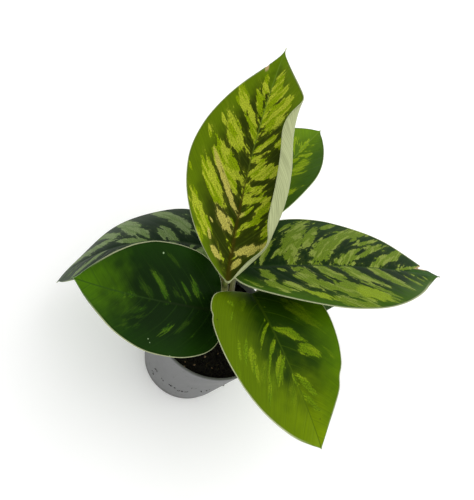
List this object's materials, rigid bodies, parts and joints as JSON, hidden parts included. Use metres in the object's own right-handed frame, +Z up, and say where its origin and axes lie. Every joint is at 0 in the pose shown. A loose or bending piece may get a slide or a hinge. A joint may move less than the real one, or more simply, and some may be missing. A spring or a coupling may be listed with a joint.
{
  "type": "potted homalomena",
  "caption": "Young house plant with broad pointed green leaves, patterned in lighter green, on slim stalks in a small tapered grey nursery pot of dark soil.",
  "frame": {"origin": "middle of the flat underside of the pot", "axes": "+Z up along the pot's axis; -Y faces the front, where the drooping front leaf hangs; +X to the right of it"},
  "size_m": [0.1567, 0.1671, 0.1306],
  "materials": {
    "pot_plastic": "matt grey moulded plastic with soil specks",
    "soil": "damp dark peat with a few pale crumbs",
    "crown": "fleshy brown-green stem",
    "leaf_olive": "satin leaf, olive with yellow-green patches",
    "leaf_blue_green": "satin leaf, blue-green with sage patches",
    "leaf_lime": "satin leaf, lime with a dark band by the midrib",
    "leaf_dark": "satin leaf, dark green with faint streaks",
    "leaf_mid": "satin leaf, mid green with small pale patches"
  },
  "bodies": {
    "root": {"pot": "pot_plastic", "soil": "soil", "crown": "crown", "leaf_upright": "leaf_olive", "leaf_right": "leaf_blue_green", "leaf_front": "leaf_lime", "leaf_left": "leaf_dark", "leaf_left_back": "leaf_blue_green", "leaf_back": "leaf_mid", "leaf_small": "leaf_dark"}
  },
  "joints": []
}
